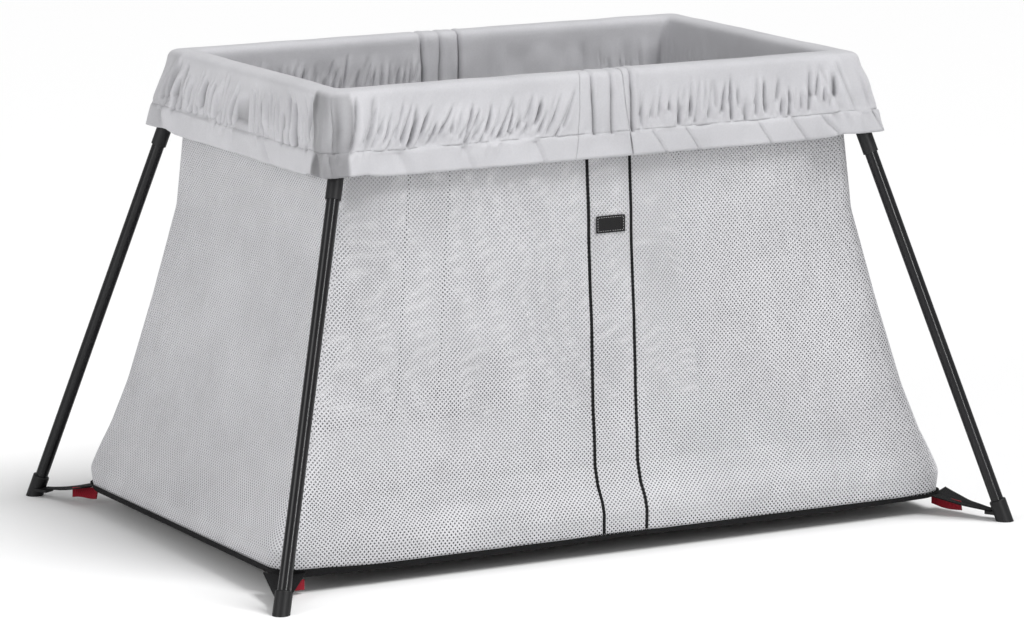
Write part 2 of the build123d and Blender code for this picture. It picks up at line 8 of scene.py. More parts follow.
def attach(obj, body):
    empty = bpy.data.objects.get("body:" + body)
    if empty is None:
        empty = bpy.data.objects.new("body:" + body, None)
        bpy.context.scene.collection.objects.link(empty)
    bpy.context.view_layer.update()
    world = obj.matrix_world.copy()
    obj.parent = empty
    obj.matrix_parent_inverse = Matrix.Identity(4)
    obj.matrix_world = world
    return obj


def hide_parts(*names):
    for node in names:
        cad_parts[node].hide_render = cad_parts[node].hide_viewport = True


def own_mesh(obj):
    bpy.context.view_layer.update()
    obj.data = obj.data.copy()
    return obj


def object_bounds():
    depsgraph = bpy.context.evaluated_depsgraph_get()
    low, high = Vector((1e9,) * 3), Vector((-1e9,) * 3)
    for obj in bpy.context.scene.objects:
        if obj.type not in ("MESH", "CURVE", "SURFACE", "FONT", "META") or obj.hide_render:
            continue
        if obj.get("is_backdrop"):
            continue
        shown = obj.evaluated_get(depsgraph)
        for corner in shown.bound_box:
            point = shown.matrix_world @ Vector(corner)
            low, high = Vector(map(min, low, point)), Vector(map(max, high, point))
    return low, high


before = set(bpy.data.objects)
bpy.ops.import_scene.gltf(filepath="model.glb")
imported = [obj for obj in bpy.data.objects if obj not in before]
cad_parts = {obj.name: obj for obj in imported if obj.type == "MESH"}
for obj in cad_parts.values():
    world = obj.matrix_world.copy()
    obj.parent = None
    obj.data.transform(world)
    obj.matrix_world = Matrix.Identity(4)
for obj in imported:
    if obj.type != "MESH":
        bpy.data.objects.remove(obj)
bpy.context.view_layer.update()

# ------------------------------------------------------------------ camera, light and floor

scene = bpy.context.scene
scene.view_settings.view_transform = "Standard"
scene.view_settings.look = "None"

YAW, PITCH, ROLL = 0.494, 0.1857, -0.0032  # radians
forward = Vector((math.cos(PITCH) * math.sin(YAW), math.cos(PITCH) * math.cos(YAW), -math.sin(PITCH)))
across = Vector((math.cos(YAW), -math.sin(YAW), 0.0))
upward = across.cross(forward)
turn = Matrix((across, upward, -forward)).transposed() @ Matrix.Rotation(ROLL, 3, "Z")
camera_data = bpy.data.cameras.new("camera")
camera_data.sensor_width = 36.0
camera_data.lens = 175.7
camera = bpy.data.objects.new("camera", camera_data)
camera.location = (-3.206, -5.9504, 1.5316)
camera.rotation_mode = "QUATERNION"
camera.rotation_quaternion = turn.to_quaternion()
camera_data.clip_end = 100.0
scene.collection.objects.link(camera)
scene.camera = camera

world = bpy.data.worlds.new("studio")
world.use_nodes = True
scene.world = world
world.node_tree.nodes["Background"].inputs["Color"].default_value = (1.0, 1.0, 1.0, 1.0)
world.node_tree.nodes["Background"].inputs["Strength"].default_value = 0.47


def area_light(name, place, target, size, power, glossy_only=False):
    data = bpy.data.lights.new(name, "AREA")
    data.shape = "RECTANGLE"
    data.size, data.size_y = size
    data.energy = power
    lamp = bpy.data.objects.new(name, data)
    lamp.location = place
    lamp.rotation_euler = (Vector(target) - Vector(place)).to_track_quat("-Z", "Y").to_euler()
    lamp.visible_diffuse = not glossy_only
    scene.collection.objects.link(lamp)


area_light("front_softbox", (0.1, -4.7, 1.7), (0.0, 0.0, 0.3), (0.35, 2.4), 12)
area_light("left_softbox", (-4.3, -1.3, 1.5), (0.0, 0.0, 0.45), (2.0, 2.4), 62)
# A strip that only shows as the bright line down the dark legs
area_light("leg_strip", (0.2, -4.7, 1.5), (0.0, 0.0, 0.3), (0.5, 2.6), 75, glossy_only=True)
sun_data = bpy.data.lights.new("overhead", "SUN")
sun_data.energy = 2.35
sun_data.angle = math.radians(26)
sun = bpy.data.objects.new("overhead", sun_data)
sun_from = Vector((1.3, -1.45, 3.2))
sun.rotation_euler = (-sun_from).to_track_quat("-Z", "Y").to_euler()
scene.collection.objects.link(sun)


# ------------------------------------------------------------------ small helpers

def noise_grid(seed):
    """Random values that repeat every 256 steps."""
    return np.pad(np.random.RandomState(seed).uniform(-1, 1, (256, 256)), (0, 1), mode="wrap")


GRIDS = [noise_grid(100 + k) for k in range(12)]


def noise(a, b, seed=0):
    """Smooth noise from about -1 to 1 over two arrays."""
    a, b = np.broadcast_arrays(np.asarray(a, float), np.asarray(b, float))
    grid = GRIDS[seed]
    i, j = np.floor(a).astype(int), np.floor(b).astype(int)
    u, v = a - i, b - j
    u, v = u * u * (3 - 2 * u), v * v * (3 - 2 * v)
    i, j = i % 256, j % 256
    low = grid[i, j] * (1 - u) + grid[i + 1, j] * u
    high = grid[i, j + 1] * (1 - u) + grid[i + 1, j + 1] * u
    return low * (1 - v) + high * v


def step(low, high, x):
    """0 below low, 1 above high, and a smooth rise between."""
    t = np.clip((np.asarray(x, float) - low) / (high - low), 0, 1)
    return t * t * (3 - 2 * t)


def mesh_piece(name, points, faces, material, smooth=True, shade=None):
    """A mesh object from an array of points and an array or list of faces."""
    mesh = bpy.data.meshes.new(name)
    points = np.asarray(points, float).reshape(-1, 3)
    if isinstance(faces, np.ndarray):
        mesh.vertices.add(len(points))
        mesh.vertices.foreach_set("co", points.ravel())
        mesh.loops.add(faces.size)
        mesh.loops.foreach_set("vertex_index", faces.ravel().astype(np.int32))
        mesh.polygons.add(len(faces))
        mesh.polygons.foreach_set("loop_start", np.arange(0, faces.size, faces.shape[1], dtype=np.int32))
        mesh.update(calc_edges=True)
    else:
        mesh.from_pydata([tuple(p) for p in points], [], [tuple(f) for f in faces])
    mesh.validate()
    if shade is not None and len(shade) == len(mesh.vertices):
        layer = mesh.attributes.new("shade", "FLOAT", "POINT")
        layer.data.foreach_set("value", np.asarray(shade, np.float32))
    mesh.polygons.foreach_set("use_smooth", [smooth] * len(mesh.polygons))
    mesh.materials.append(material)
    mesh.update()
    obj = bpy.data.objects.new(name, mesh)
    scene.collection.objects.link(obj)
    return obj


def grid_normals(p):
    """Unit normals of a grid of points (rows, columns, 3)."""
    n = np.cross(np.gradient(p, axis=1), np.gradient(p, axis=0))
    return n / np.maximum(np.linalg.norm(n, axis=2, keepdims=True), 1e-12)


def grid_faces(rows, columns, start=0, wrap=False, flip=False):
    """Quads over a grid of points that begins at index start."""
    r = np.arange(rows - 1)[:, None]
    c = np.arange(columns if wrap else columns - 1)[None, :]
    d = (c + 1) % columns
    row, following = r * columns, (r + 1) * columns
    quads = np.stack([row + c, row + d, following + d, following + c], axis=-1).reshape(-1, 4) + start
    return quads[:, ::-1] if flip else quads


def layered(outer, inner, flip=False):
    """A closed piece between two grids of points: (points, faces)."""
    rows, columns = outer.shape[:2]
    count = rows * columns
    faces = [grid_faces(rows, columns, 0, False, flip), grid_faces(rows, columns, count, False, not flip)]
    c = np.arange(columns - 1)
    for row, turned in ((0, not flip), (rows - 1, flip)):
        base = row * columns
        rim = np.stack([base + c, base + c + 1, base + c + 1 + count, base + c + count], axis=-1)
        faces.append(rim if not turned else rim[:, ::-1])
    r = np.arange(rows - 1) * columns
    for column, turned in ((0, flip), (columns - 1, not flip)):
        near, far = r + column, r + columns + column
        rim = np.stack([near, far, far + count, near + count], axis=-1)
        faces.append(rim if not turned else rim[:, ::-1])
    return np.concatenate([outer.reshape(-1, 3), inner.reshape(-1, 3)]), np.concatenate(faces)


def joined(parts):
    """Several (points, faces) as one."""
    points, faces, count = [], [], 0
    for co, quads in parts:
        points.append(co)
        faces.append(quads + count)
        count += len(co)
    return np.concatenate(points), np.concatenate(faces)


def outwards_of(side):
    return {"front": (0, -1, 0), "back": (0, 1, 0), "left": (-1, 0, 0), "right": (1, 0, 0)}[side]


def rectangle_point(s, half_x, half_y, r, nominal):
    """A point on a rounded rectangle, and its outward normal.

    s runs clockwise from the front's middle, along the nominal rectangle (half x, half y, radius), so that
    the same s is the same place on every level."""
    nx, ny, nr = nominal
    a, b, q = nx - nr, ny - nr, nr * math.pi / 2
    total = 4 * a + 4 * b + 4 * q
    s, half_x, half_y, r = np.broadcast_arrays(np.mod(s, total), half_x, half_y, r)
    al, bl = half_x - r, half_y - r
    x, y = np.zeros(s.shape), np.zeros(s.shape)
    ox, oy = np.zeros(s.shape), np.zeros(s.shape)

    def along(d):
        """A distance from the middle of a long side, moved to this level's length near the corners only."""
        return d + (al - a) * np.clip(np.abs(d) / a, 0, 1) ** 3 * np.sign(d)

    edges = np.cumsum([0, a, q, 2 * b, q, 2 * a, q, 2 * b, q, a])
    for k in range(9):
        m = (s >= edges[k]) & (s <= edges[k + 1])
        d = s - edges[k]
        if k in (0, 8):
            value = -along(d) if k == 0 else along(a - d)
            x = np.where(m, value, x)
            y = np.where(m, -half_y, y)
            ox, oy = np.where(m, 0, ox), np.where(m, -1, oy)
        elif k == 4:
            x = np.where(m, along(d - a), x)
            y = np.where(m, half_y, y)
            ox, oy = np.where(m, 0, ox), np.where(m, 1, oy)
        elif k in (2, 6):
            side = -1 if k == 2 else 1
            x = np.where(m, side * half_x, x)
            y = np.where(m, -side * (d - b) * bl / b, y)
            ox, oy = np.where(m, side, ox), np.where(m, 0, oy)
        else:
            angle = d / nr
            first = {1: -math.pi / 2, 3: math.pi, 5: math.pi / 2, 7: 0.0}[k]
            cx, cy = {1: (-1, -1), 3: (-1, 1), 5: (1, 1), 7: (1, -1)}[k]
            px, py = np.cos(first - angle), np.sin(first - angle)
            x = np.where(m, cx * al + r * px, x)
            y = np.where(m, cy * bl + r * py, y)
            ox, oy = np.where(m, px, ox), np.where(m, py, oy)
    return x, y, ox, oy


# ------------------------------------------------------------------ materials

def new_material(name):
    material = bpy.data.materials.new(name)
    material.use_nodes = True
    tree = material.node_tree
    return material, tree, tree.nodes["Principled BSDF"]


def node(tree, kind, **values):
    """A shader node with its inputs or settings filled in."""
    made = tree.nodes.new(kind)
    for key, value in values.items():
        if key in made.inputs:
            made.inputs[key].default_value = value
        else:
            setattr(made, key, value)
    return made


def math_node(tree, operation, a, b=None):
    made = tree.nodes.new("ShaderNodeMath")
    made.operation = operation
    for k, value in enumerate((a, b)):
        if value is None:
            continue
        if isinstance(value, (int, float)):
            made.inputs[k].default_value = value
        else:
            tree.links.new(value, made.inputs[k])
    return made.outputs[0]


def ramp(tree, value, low, high, colour_low, colour_high):
    made = tree.nodes.new("ShaderNodeValToRGB")
    made.color_ramp.elements[0].position = low
    made.color_ramp.elements[1].position = high
    made.color_ramp.elements[0].color = (*colour_low, 1)
    made.color_ramp.elements[1].color = (*colour_high, 1)
    tree.links.new(value, made.inputs["Fac"])
    return made.outputs["Color"]


def weave_height(tree, coordinates, pitch, twill=0.0):
    """A plain or twill weave: two crossing sets of threads, by object coordinates turned to the cloth."""
    split = tree.nodes.new("ShaderNodeSeparateXYZ")
    tree.links.new(coordinates, split.inputs[0])
    xy = math_node(tree, "ADD", split.outputs["X"], split.outputs["Y"])
    turned = math_node(tree, "ADD", xy, math_node(tree, "MULTIPLY", split.outputs["Z"], twill))
    k = 2 * math.pi / pitch
    warp = math_node(tree, "SINE", math_node(tree, "MULTIPLY", turned, k))
    weft = math_node(tree, "SINE", math_node(tree, "MULTIPLY", split.outputs["Z"], k))
    return math_node(tree, "MULTIPLY", warp, weft)


def cloth_material(name, dark, light, roughness, pitch, strength, sheen=0.2, twill=0.0):
    """Woven cloth between two tones, with threads at the given pitch in its bump."""
    material, tree, shader = new_material(name)
    place = node(tree, "ShaderNodeTexCoord")
    coordinates = place.outputs["Object"]
    height = weave_height(tree, coordinates, pitch, twill)
    patches = node(tree, "ShaderNodeTexNoise", Scale=9.0, Detail=3.0, Roughness=0.6)
    fine = node(tree, "ShaderNodeTexNoise", Scale=420.0, Detail=2.0, Roughness=0.6)
    tree.links.new(coordinates, patches.inputs["Vector"])
    tree.links.new(coordinates, fine.inputs["Vector"])
    wide_part = math_node(tree, "MULTIPLY", patches.outputs["Fac"], 0.7)
    fine_part = math_node(tree, "MULTIPLY", fine.outputs["Fac"], 0.3)
    colour = ramp(tree, math_node(tree, "ADD", wide_part, fine_part), 0.3, 0.7, dark, light)
    tree.links.new(colour, shader.inputs["Base Color"])
    bump = node(tree, "ShaderNodeBump", Strength=strength, Distance=pitch * 0.35)
    tree.links.new(math_node(tree, "ADD", height, math_node(tree, "MULTIPLY", fine.outputs["Fac"], 0.8)),
                   bump.inputs["Height"])
    tree.links.new(bump.outputs["Normal"], shader.inputs["Normal"])
    rough = math_node(tree, "ADD", math_node(tree, "MULTIPLY", fine.outputs["Fac"], 0.14), roughness - 0.07)
    tree.links.new(rough, shader.inputs["Roughness"])
    shader.inputs["Sheen Weight"].default_value = sheen
    shader.inputs["Sheen Roughness"].default_value = 0.4
    shader.inputs["Specular IOR Level"].default_value = 0.25
    return material, tree, shader, colour


rim_material, rim_tree, rim_shader, rim_colour = cloth_material(
    "rim_cloth_weave", (0.490, 0.488, 0.510), (0.590, 0.588, 0.612), 0.46, 0.0011, 0.35, 0.15)
net_material, net_tree, net_shader, net_colour = cloth_material(
    "net_thread", (0.600, 0.598, 0.620), (0.710, 0.708, 0.732), 0.55, 0.0009, 0.5, 0.1)


def paint_shade(tree, shader, colour, least):
    """Paints shade: multiplies a cloth's colour down to least where its mesh is marked as shaded."""
    shade = node(tree, "ShaderNodeAttribute", attribute_name="shade")
    darken = node(tree, "ShaderNodeMixRGB", blend_type="MULTIPLY", Fac=1.0)
    tree.links.new(colour, darken.inputs["Color1"])
    tones = ramp(tree, shade.outputs["Fac"], 0.0, 1.0, (1.0, 1.0, 1.0), (least, least, least))
    tree.links.new(tones, darken.inputs["Color2"])
    tree.links.new(darken.outputs["Color"], shader.inputs["Base Color"])


# Painted shade: the rim cover's corner panels, the bottoms of its gathers and creases, and the netting's
# inner layer inside its holes are darkened where shade falls on them.
paint_shade(rim_tree, rim_shader, rim_colour, 0.20)
paint_shade(net_tree, net_shader, net_colour, 0.13)
mattress_material, _, _, _ = cloth_material(
    "mattress_cloth", (0.340, 0.340, 0.352), (0.420, 0.420, 0.430), 0.75, 0.0024, 0.6, 0.25, 0.5)
base_material, _, base_shader, _ = cloth_material(
    "base_cloth_weave", (0.0045, 0.0045, 0.005), (0.010, 0.010, 0.011), 0.70, 0.0016, 0.6, 0.0)
webbing_material, _, webbing_shader, _ = cloth_material(
    "black_webbing_weave", (0.0045, 0.0045, 0.005), (0.012, 0.012, 0.013), 0.62, 0.0020, 0.8, 0.0, 1.0)
for shader in (base_shader, webbing_shader):
    shader.inputs["Specular IOR Level"].default_value = 0.15
red_material, _, _, _ = cloth_material(
    "red_webbing_weave", (0.230, 0.003, 0.012), (0.400, 0.006, 0.024), 0.55, 0.0018, 0.8, 0.1, 1.0)
label_material, _, _, _ = cloth_material(
    "label_weave", (0.005, 0.005, 0.0055), (0.010, 0.010, 0.011), 0.65, 0.0008, 0.6, 0.0)
thread_material, _, _, _ = cloth_material(
    "label_thread", (0.350, 0.350, 0.355), (0.480, 0.480, 0.485), 0.6, 0.0008, 0.6, 0.05)


def hard_material(name, dark, light, roughness, grain, strength, metallic=0.0):
    """Moulded plastic or coated metal: fine grain, small changes of tone, lighter along sharp edges and
    darker in hollows.
    """
    material, tree, shader = new_material(name)
    place = node(tree, "ShaderNodeTexCoord")
    fine = node(tree, "ShaderNodeTexNoise", Scale=grain, Detail=3.0, Roughness=0.55)
    wide = node(tree, "ShaderNodeTexNoise", Scale=14.0, Detail=4.0, Roughness=0.6)
    tree.links.new(place.outputs["Object"], fine.inputs["Vector"])
    tree.links.new(place.outputs["Object"], wide.inputs["Vector"])
    geometry = node(tree, "ShaderNodeNewGeometry")
    # By pointiness: sharp edges lighter, hollows darker
    past_flat = math_node(tree, "SUBTRACT", geometry.outputs["Pointiness"], 0.52)
    tone = math_node(tree, "ADD", wide.outputs["Fac"], math_node(tree, "MULTIPLY", past_flat, 3.0))
    tree.links.new(ramp(tree, tone, 0.35, 0.95, dark, light), shader.inputs["Base Color"])
    bump = node(tree, "ShaderNodeBump", Strength=strength, Distance=0.0004)
    tree.links.new(fine.outputs["Fac"], bump.inputs["Height"])
    tree.links.new(bump.outputs["Normal"], shader.inputs["Normal"])
    rough = math_node(tree, "ADD", math_node(tree, "MULTIPLY", wide.outputs["Fac"], 0.16), roughness - 0.08)
    tree.links.new(rough, shader.inputs["Roughness"])
    shader.inputs["Metallic"].default_value = metallic
    return material


leg_material = hard_material("leg_coating", (0.004, 0.004, 0.005), (0.010, 0.010, 0.011), 0.20, 900.0, 0.03)
plastic_material = hard_material(
    "black_moulding", (0.004, 0.004, 0.0045), (0.011, 0.011, 0.012), 0.48, 700.0, 0.25)
grey_material = hard_material(
    "grey_moulding", (0.085, 0.085, 0.090), (0.130, 0.130, 0.136), 0.5, 700.0, 0.25)
rail_material = hard_material(
    "rail_metal", (0.430, 0.430, 0.440), (0.560, 0.560, 0.570), 0.38, 500.0, 0.10, 0.9)
steel_material = hard_material(
    "steel_zinc", (0.480, 0.480, 0.490), (0.640, 0.640, 0.650), 0.32, 500.0, 0.08, 1.0)

for material in (leg_material, plastic_material):
    material.node_tree.nodes["Principled BSDF"].inputs["Specular IOR Level"].default_value = 0.28

FINISH = {
    "leg_tube": leg_material, "leg_head": plastic_material, "foot_cap": plastic_material,
    "centre_link": plastic_material, "release_button": grey_material, "release_spring": steel_material,
    "link_pins": steel_material, "leg_pins": steel_material, "rivets": steel_material,
    "rail_end": rail_material, "rail_long": rail_material, "corner_moulding": plastic_material,
    "hinge_end": plastic_material,
}
for name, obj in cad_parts.items():
    for start, finish in FINISH.items():
        if name.startswith(start):
            if not obj.material_slots:
                obj.data.materials.append(finish)
            for place in obj.material_slots:
                place.material = finish

# ------------------------------------------------------------------ rim cover

RAIL_HALF = (0.385, 0.232)  # half the rim's length and width, to the rails' centre lines
NOMINAL = (0.405, 0.252, 0.024)
SEAM_Z, HEM_Z, CREST_Z = 0.558, 0.525, 0.6385
COVER_THICKNESS = 0.0011
COLUMN_WIDTH = 0.0017

# The cover's section is a list of (outwards from the rail's centre line, height): from its inner edge, over
# the rail and down to the hem.
inner_run = [(-0.0175, z) for z in np.linspace(0.565, 0.6195, 15)]


def crest_point(t):
    """A squared-off arch over the rail."""
    c, q = -math.cos(t), math.sin(t)
    return -0.001 + 0.0165 * math.copysign(abs(c) ** 0.60, c), 0.6225 + 0.0160 * q ** 0.60


crest = [crest_point(t) for t in np.linspace(0.06, math.pi - 0.06, 13)]
outer_z = np.linspace(0.6185, SEAM_Z + 0.0025, 17)
outer_out = np.interp(outer_z, [0.55, 0.59, 0.61, 0.6225], [0.0222, 0.0190, 0.0168, 0.0155])
outer_run = list(zip(outer_out, outer_z))
hem_run = [(0.0222, SEAM_Z + 0.0008), (0.0216, SEAM_Z), (0.0232, SEAM_Z - 0.0012)]
band_top = SEAM_Z - 0.0030
hem_run += [(0.0238 + 0.0017 * t, band_top - (band_top - HEM_Z) * t) for t in np.linspace(0, 1, 9)]
SECTION = np.array(inner_run + crest + outer_run + hem_run)

# The front's middle creases, and the tapes under them, stand a little right of the fold.
FRONT_LEAN = 0.014
TOTAL = 4 * (NOMINAL[0] - NOMINAL[2]) + 4 * (NOMINAL[1] - NOMINAL[2]) + 2 * math.pi * NOMINAL[2]
END_AT = (NOMINAL[0] - NOMINAL[2]) + NOMINAL[2] * math.pi / 4  # from a long side's middle to the corner


def crease_set(seed, regions):
    """Random creases: (place along the rim, top and bottom below the crest, slant, depth, width)."""
    rng = np.random.RandomState(seed)
    found = []
    for first, last, count, top, bottom, slant, depth in regions:
        for k in range(count):
            place = first + (last - first) * (k + rng.uniform(-0.6, 0.6) + 0.5) / count
            high = rng.uniform(*top)
            low = rng.uniform(max(bottom[0], high + 0.012), bottom[1])
            found.append((place, high, low, slant * rng.uniform(0.5, 1.5), rng.uniform(0.35, 1.0) * depth,
                          rng.uniform(0.0018, 0.0036)))
    return found


# Round the rim, the front is at 0, the left end at a quarter, the back at a half and the right end at three
# quarters of the way.
BACK = TOTAL / 2
OUTER_CREASES = crease_set(11, [
    (0.050, 0.345, 46, (0.014, 0.046), (0.060, 0.082), 0.30, 0.0080),
    (TOTAL - 0.345, TOTAL - 0.045, 44, (0.012, 0.048), (0.055, 0.082), 0.24, 0.0062),
    (END_AT + 0.046, BACK - END_AT - 0.036, 52, (0.008, 0.034), (0.060, 0.083), 0.05, 0.0088),
    (BACK - 0.345, BACK - 0.045, 40, (0.014, 0.048), (0.058, 0.082), -0.15, 0.0060),
    (BACK + 0.045, BACK + 0.345, 40, (0.014, 0.048), (0.058, 0.082), 0.18, 0.0060),
    (BACK + END_AT + 0.040, TOTAL - END_AT - 0.040, 44, (0.012, 0.042), (0.058, 0.083), 0.05, 0.0066),
])
INNER_CREASES = crease_set(12, [
    (0.045, 0.340, 38, (0.026, 0.052), (0.066, 0.080), -0.15, 0.0050),
    (TOTAL - 0.340, TOTAL - 0.045, 38, (0.026, 0.052), (0.066, 0.080), 0.15, 0.0050),
    (END_AT + 0.03, BACK - END_AT - 0.03, 36, (0.026, 0.050), (0.066, 0.080), 0.10, 0.0034),
    (BACK - 0.345, BACK - 0.035, 48, (0.020, 0.052), (0.066, 0.080), -0.22, 0.0060),
    (BACK + 0.26, BACK + 0.345, 8, (0.030, 0.050), (0.066, 0.080), 0.10, 0.0030),
    (BACK + END_AT + 0.03, TOTAL - END_AT - 0.10, 26, (0.036, 0.058), (0.066, 0.080), 0.10, 0.0034),
])


def add_creases(d, s, drop, creases):
    """Cuts each crease as a narrow valley with a soft ridge beside it."""
    wrapped = np.mod(s, TOTAL)
    for place, high, low, slant, depth, width in creases:
        near = np.nonzero(np.abs(wrapped - place) < 0.030)[0]
        if not len(near):
            continue
        q = drop[:, near]
        fade = step(high, high + 0.016, q) * (1 - step(low - 0.004, low + 0.002, q))
        t = (wrapped[near][None, :] - place - slant * (q - 0.06)) / width
        grow = 0.55 + 0.45 * step(high, low, q)
        d[:, near] += depth * grow * fade * (-np.exp(-t ** 2) + 0.42 * np.exp(-((t - 2.1) / 1.5) ** 2)
                                             + 0.20 * np.exp(-((t + 2.2) / 1.4) ** 2))
    return d


# Beside each corner: (towards the long side from the corner, depth, width, slant)
CORNER_CREASES = [
    (0.040, 0.0065, 0.0028, -0.10), (-0.050, 0.0080, 0.0034, 0.20), (0.004, 0.0016, 0.0012, 0.12),
    (0.062, 0.0040, 0.0030, -0.20), (-0.074, 0.0045, 0.0028, 0.15),
]
# How deep they are, and how much shade is painted on the panel, at the front left, back left, back right and
# front right
CORNER_DEPTH = (1.0, 0.9, 0.55, 0.45)
CORNER_PAINTED_SHADE = (0.70, 0.25, 0.18, 0.13)


def cover_surface(s):
    """The rim cover's outer surface at each s along the rim: its points, and the shade painted on the cloth
    there.
    """
    out, z = SECTION[:, 0][:, None], SECTION[:, 1][:, None]
    half_x, half_y = RAIL_HALF[0] + out, RAIL_HALF[1] + out
    radius = np.interp(out, [-0.0175, 0.0, 0.0155, 0.0255], [0.012, 0.011, 0.012, 0.014])
    x, y, ox, oy = rectangle_point(s[None, :], half_x, half_y, radius, NOMINAL)
    z = np.broadcast_to(z, x.shape).copy()
    drop = CREST_Z - z
    outside = step(0.004, 0.012, np.broadcast_to(out, x.shape))
    # The flared corners, where the skirt passes outside the leg brackets, and lifts a little
    near_x = step(0.290, 0.376, np.abs(x))
    near_y = step(0.150, 0.236, np.abs(y))
    spread_y = np.interp(z, [0.525, 0.590, 0.628, 0.640], [0.0250, 0.0166, 0.0055, 0.0030])
    spread_x = np.interp(z, [0.525, 0.590, 0.628, 0.640], [0.0140, 0.0050, 0.0025, 0.0015])
    y = y + np.sign(y) * spread_y * near_x * outside
    x = x + np.sign(x) * spread_x * near_y * outside
    at_corner = near_x * step(0.20, 0.25, np.abs(y)) + near_y * step(0.34, 0.40, np.abs(x))
    lift = 0.0075 * np.clip(at_corner, 0, 1)
    z = z + lift * np.clip(drop / 0.1135, 0, 1) ** 1.4 * outside
    p = np.stack([x, y, z], axis=-1)
    n = -grid_normals(p)
    facing = n[..., 0] * ox + n[..., 1] * oy
    side = np.where(out < -0.010, -1.0, 1.0)
    n = n * np.where((facing * side).mean(axis=0) < 0, -1.0, 1.0)[None, :, None]
    # Gathers: the skirt is drawn in along its seam, and the inner face along its lower edge.
    along = np.broadcast_to(s[None, :], x.shape)
    on_long = (np.abs(oy) > 0.9) & (np.abs(x) < 0.10)
    skirt = step(0.012, 0.040, drop) * (1 - step(0.0790, 0.0812, drop)) * outside
    inward = step(0.020, 0.050, drop) * np.where(out < -0.012, 1.0, 0.0)
    outer_cut = add_creases(np.zeros(x.shape), s, drop, OUTER_CREASES) * outside
    inner_cut = add_creases(np.zeros(x.shape), s, drop, INNER_CREASES) * np.where(out < -0.004, 1.0, 0.0)
    shift = along + 0.005 * noise(along / 0.07, drop / 0.05, 1)
    soft = 0.0026 * noise(shift / 0.026, drop / 0.11, 5) + 0.0016 * noise(shift / 0.0115, drop / 0.06, 4)
    tiny = 0.0015 * noise(shift / 0.0056, drop / 0.018, 6) * step(0.055, 0.078, drop)
    calm_middle = np.where(on_long, np.exp(-((x / 0.040) ** 4)), 0)
    gathers = (outer_cut + (soft + tiny) * skirt) * (1 - 0.7 * calm_middle) + inner_cut + soft * inward
    # The hem band lies flatter, with a few slanting creases.
    band = step(0.0815, 0.0835, drop)
    slant = along + 0.55 * (drop - 0.085)
    tucks = np.clip(np.abs(noise(slant / 0.052, 0 * drop + 8.1, 8)) * 9, 0, 1) - 1
    puckers = noise(along / 0.0060, drop / 0.03, 9) * step(0.1, 0.5, noise(along / 0.09, 0 * drop + 2.2, 3))
    fine = puckers * np.exp(-((drop - 0.086) / 0.008) ** 2)
    d = gathers * (1 - band)
    loose = 0.0018 * noise(along / 0.024, drop / 0.03, 9)
    d = d + band * outside * (loose + 0.0032 * tucks + 0.0024 * fine)
    d = d + 0.0005 * noise(along / 0.05, drop / 0.02, 7)
    # Three upright creases in the middle of each long side, with shade painted along their valleys
    middle_painted_shade = np.zeros(x.shape)
    for middle, depth in ((-0.028, 0.0060), (0.0, 0.0048), (0.030, 0.0060)):
        line = middle + FRONT_LEAN * (y < 0) + 0.0012 * noise(drop / 0.03, 0 * drop + 50 * middle, 2)
        valley = np.exp(-np.abs(x - line) / 0.0020)
        bank = 0.35 * np.exp(-((x - line - 0.006) / 0.004) ** 2)
        crease = (bank - valley) * depth
        d = d + np.where(on_long, crease, 0) * (1 - band) * step(0.0, 0.008, drop + 0.003)
        # Painted shade along each crease's valley
        line_painted_shade = np.where(on_long, np.exp(-np.abs(x - line) / 0.0018), 0) * depth / 0.0080
        middle_painted_shade = np.maximum(middle_painted_shade, line_painted_shade * step(0.010, 0.030, drop))
    # Deep creases beside each corner, and a rounded ridge between them
    # Painted shade at the bottoms of the gathers, and along the middle creases, where shade falls.
    dark = 0.60 * step(0.0006, 0.0055, -outer_cut) * (1 - band)
    dark = np.maximum(dark, middle_painted_shade * (1 - band))
    for k, corner in enumerate((END_AT, BACK - END_AT, BACK + END_AT, TOTAL - END_AT)):
        away = np.mod(along - corner + TOTAL / 2, TOTAL) - TOTAL / 2
        reach = away * (-1 if k in (0, 2) else 1)  # positive towards the long side
        scale = CORNER_DEPTH[k]
        for middle, depth, width, tilt in CORNER_CREASES:
            middle = middle + tilt * (drop - 0.05) + 0.003 * GRIDS[10][k, 3]
            t = (reach - middle) / width
            cut = (-np.exp(-np.abs(t)) + 0.40 * np.exp(-((t - 2.6) / 1.6) ** 2)) * depth * scale
            fade = step(0.006, 0.022, drop) * (1 - step(0.070, 0.092, drop)) * outside
            d = d + cut * fade
            # Painted shade along each corner crease's valley.
            dark = np.maximum(dark, 95.0 * depth * scale * np.exp(-np.abs(t) / 0.9) * fade)
        ridge = np.exp(-((reach + 0.022 - 0.10 * (drop - 0.05)) / 0.014) ** 2)
        d = d + 0.0035 * scale * ridge * step(0.01, 0.04, drop) * (1 - step(0.060, 0.085, drop)) * outside
        wavy = 0.004 * noise(drop / 0.022, 0 * drop + k, 6)
        # The panel beside each corner gets painted shade, standing in for the shade that falls on it,
        # strongest at the front left.
        panel = step(-0.052, -0.044, reach + wavy) * (1 - step(0.035, 0.041, reach - wavy))
        uneven = 0.9 + 0.35 * noise(reach / 0.014, drop / 0.05, 8)
        panel = panel * outside * step(0.000, 0.008, drop) * uneven
        dark = np.maximum(dark, panel * CORNER_PAINTED_SHADE[k])
    return p + n * d[..., None], dark


CREASE_X = 0.0300  # the hinge lines, where the cover's three parts meet
GAP = 0.0002


def cover_piece(name, runs, body, replaced):
    """One part of the rim cover, over one or two runs along the rim."""
    parts, dark = [], []
    for first, last in runs:
        columns = max(12, int(round((last - first) / COLUMN_WIDTH)))
        surface, tone = cover_surface(np.linspace(first, last, columns))
        parts.append(layered(surface, surface + grid_normals(surface) * COVER_THICKNESS, flip=True))
        # Both layers carry the same painted shade.
        dark += [tone.ravel(), tone.ravel()]
    obj = mesh_piece(name, *joined(parts), rim_material, shade=np.concatenate(dark))
    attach(obj, body)
    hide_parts(replaced)
    return obj


